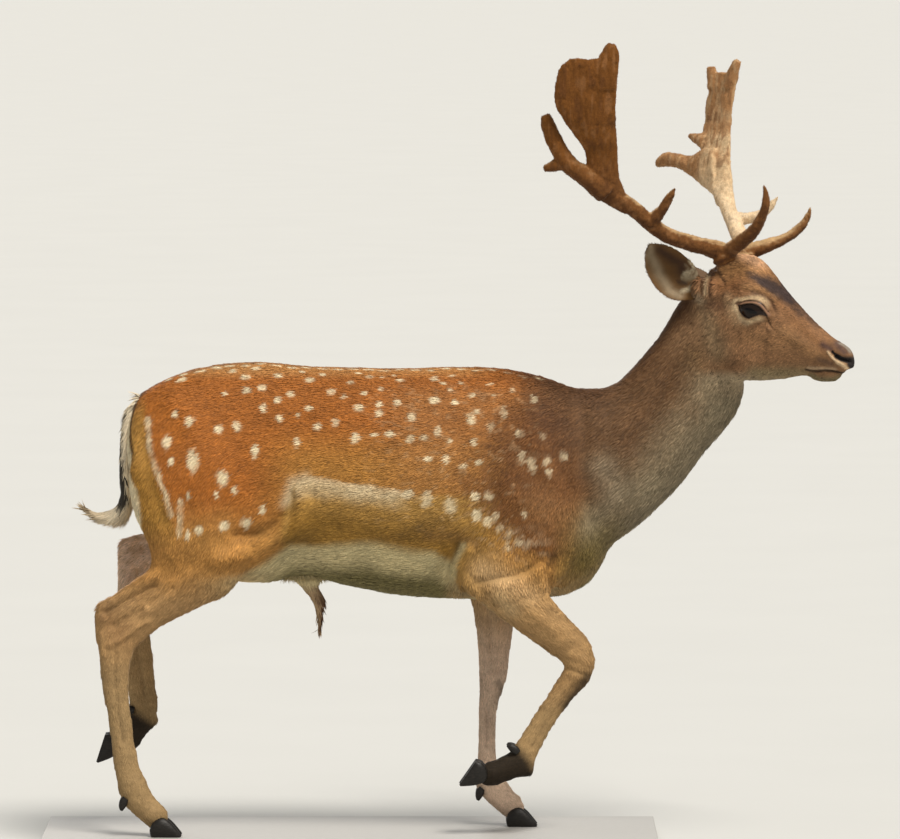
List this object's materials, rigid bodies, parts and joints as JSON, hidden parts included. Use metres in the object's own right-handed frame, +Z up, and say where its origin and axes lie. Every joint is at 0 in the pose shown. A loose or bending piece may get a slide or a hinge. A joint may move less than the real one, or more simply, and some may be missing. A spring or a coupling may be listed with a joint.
{
  "type": "fallow buck model",
  "caption": "Life-size standing model of a walking fallow buck with palmate antlers in velvet and a spotted summer coat, on a plain rectangular base.",
  "frame": {"origin": "centre of the base's underside", "axes": "+X forward, the way the animal walks; +Y to the animal's left; +Z up"},
  "size_m": [1.5221, 0.5056, 1.5184],
  "materials": {
    "coat_brown": "short reddish-brown hair with white spots",
    "leg_buff": "short buff hair",
    "neck_grey": "short grey-brown hair",
    "tail_dark": "long hair, black above and white below",
    "velvet_brown": "velvet over growing antler",
    "horn_black": "satin black horn",
    "eye_dark": "wet gloss",
    "base_grey": "matt grey paint"
  },
  "bodies": {
    "root": {"antler_L_base": "velvet_brown", "antler_L_beam": "velvet_brown", "antler_L_palm": "velvet_brown", "antler_R_base": "velvet_brown", "antler_R_beam": "velvet_brown", "antler_R_palm": "velvet_brown", "ear_L": "neck_grey", "ear_R": "neck_grey", "eye_L": "eye_dark", "eye_R": "eye_dark", "fore_L_cannon": "leg_buff", "fore_L_claw_inner": "horn_black", "fore_L_claw_outer": "horn_black", "fore_L_dewclaw_inner": "horn_black", "fore_L_dewclaw_outer": "horn_black", "fore_L_foot": "leg_buff", "fore_L_forearm": "leg_buff", "fore_R_cannon": "leg_buff", "fore_R_claw_inner": "horn_black", "fore_R_claw_outer": "horn_black", "fore_R_dewclaw_inner": "horn_black", "fore_R_dewclaw_outer": "horn_black", "fore_R_foot": "leg_buff", "fore_R_forearm": "leg_buff", "head": "neck_grey", "hind_L_cannon": "leg_buff", "hind_L_claw_inner": "horn_black", "hind_L_claw_outer": "horn_black", "hind_L_dewclaw_inner": "horn_black", "hind_L_dewclaw_outer": "horn_black", "hind_L_foot": "leg_buff", "hind_L_shank": "leg_buff", "hind_L_thigh": "coat_brown", "hind_R_cannon": "leg_buff", "hind_R_claw_inner": "horn_black", "hind_R_claw_outer": "horn_black", "hind_R_dewclaw_inner": "horn_black", "hind_R_dewclaw_outer": "horn_black", "hind_R_foot": "leg_buff", "hind_R_shank": "leg_buff", "hind_R_thigh": "coat_brown", "neck": "neck_grey", "sheath": "coat_brown", "stand_base": "base_grey", "tail": "tail_dark", "trunk": "coat_brown"}
  },
  "joints": []
}
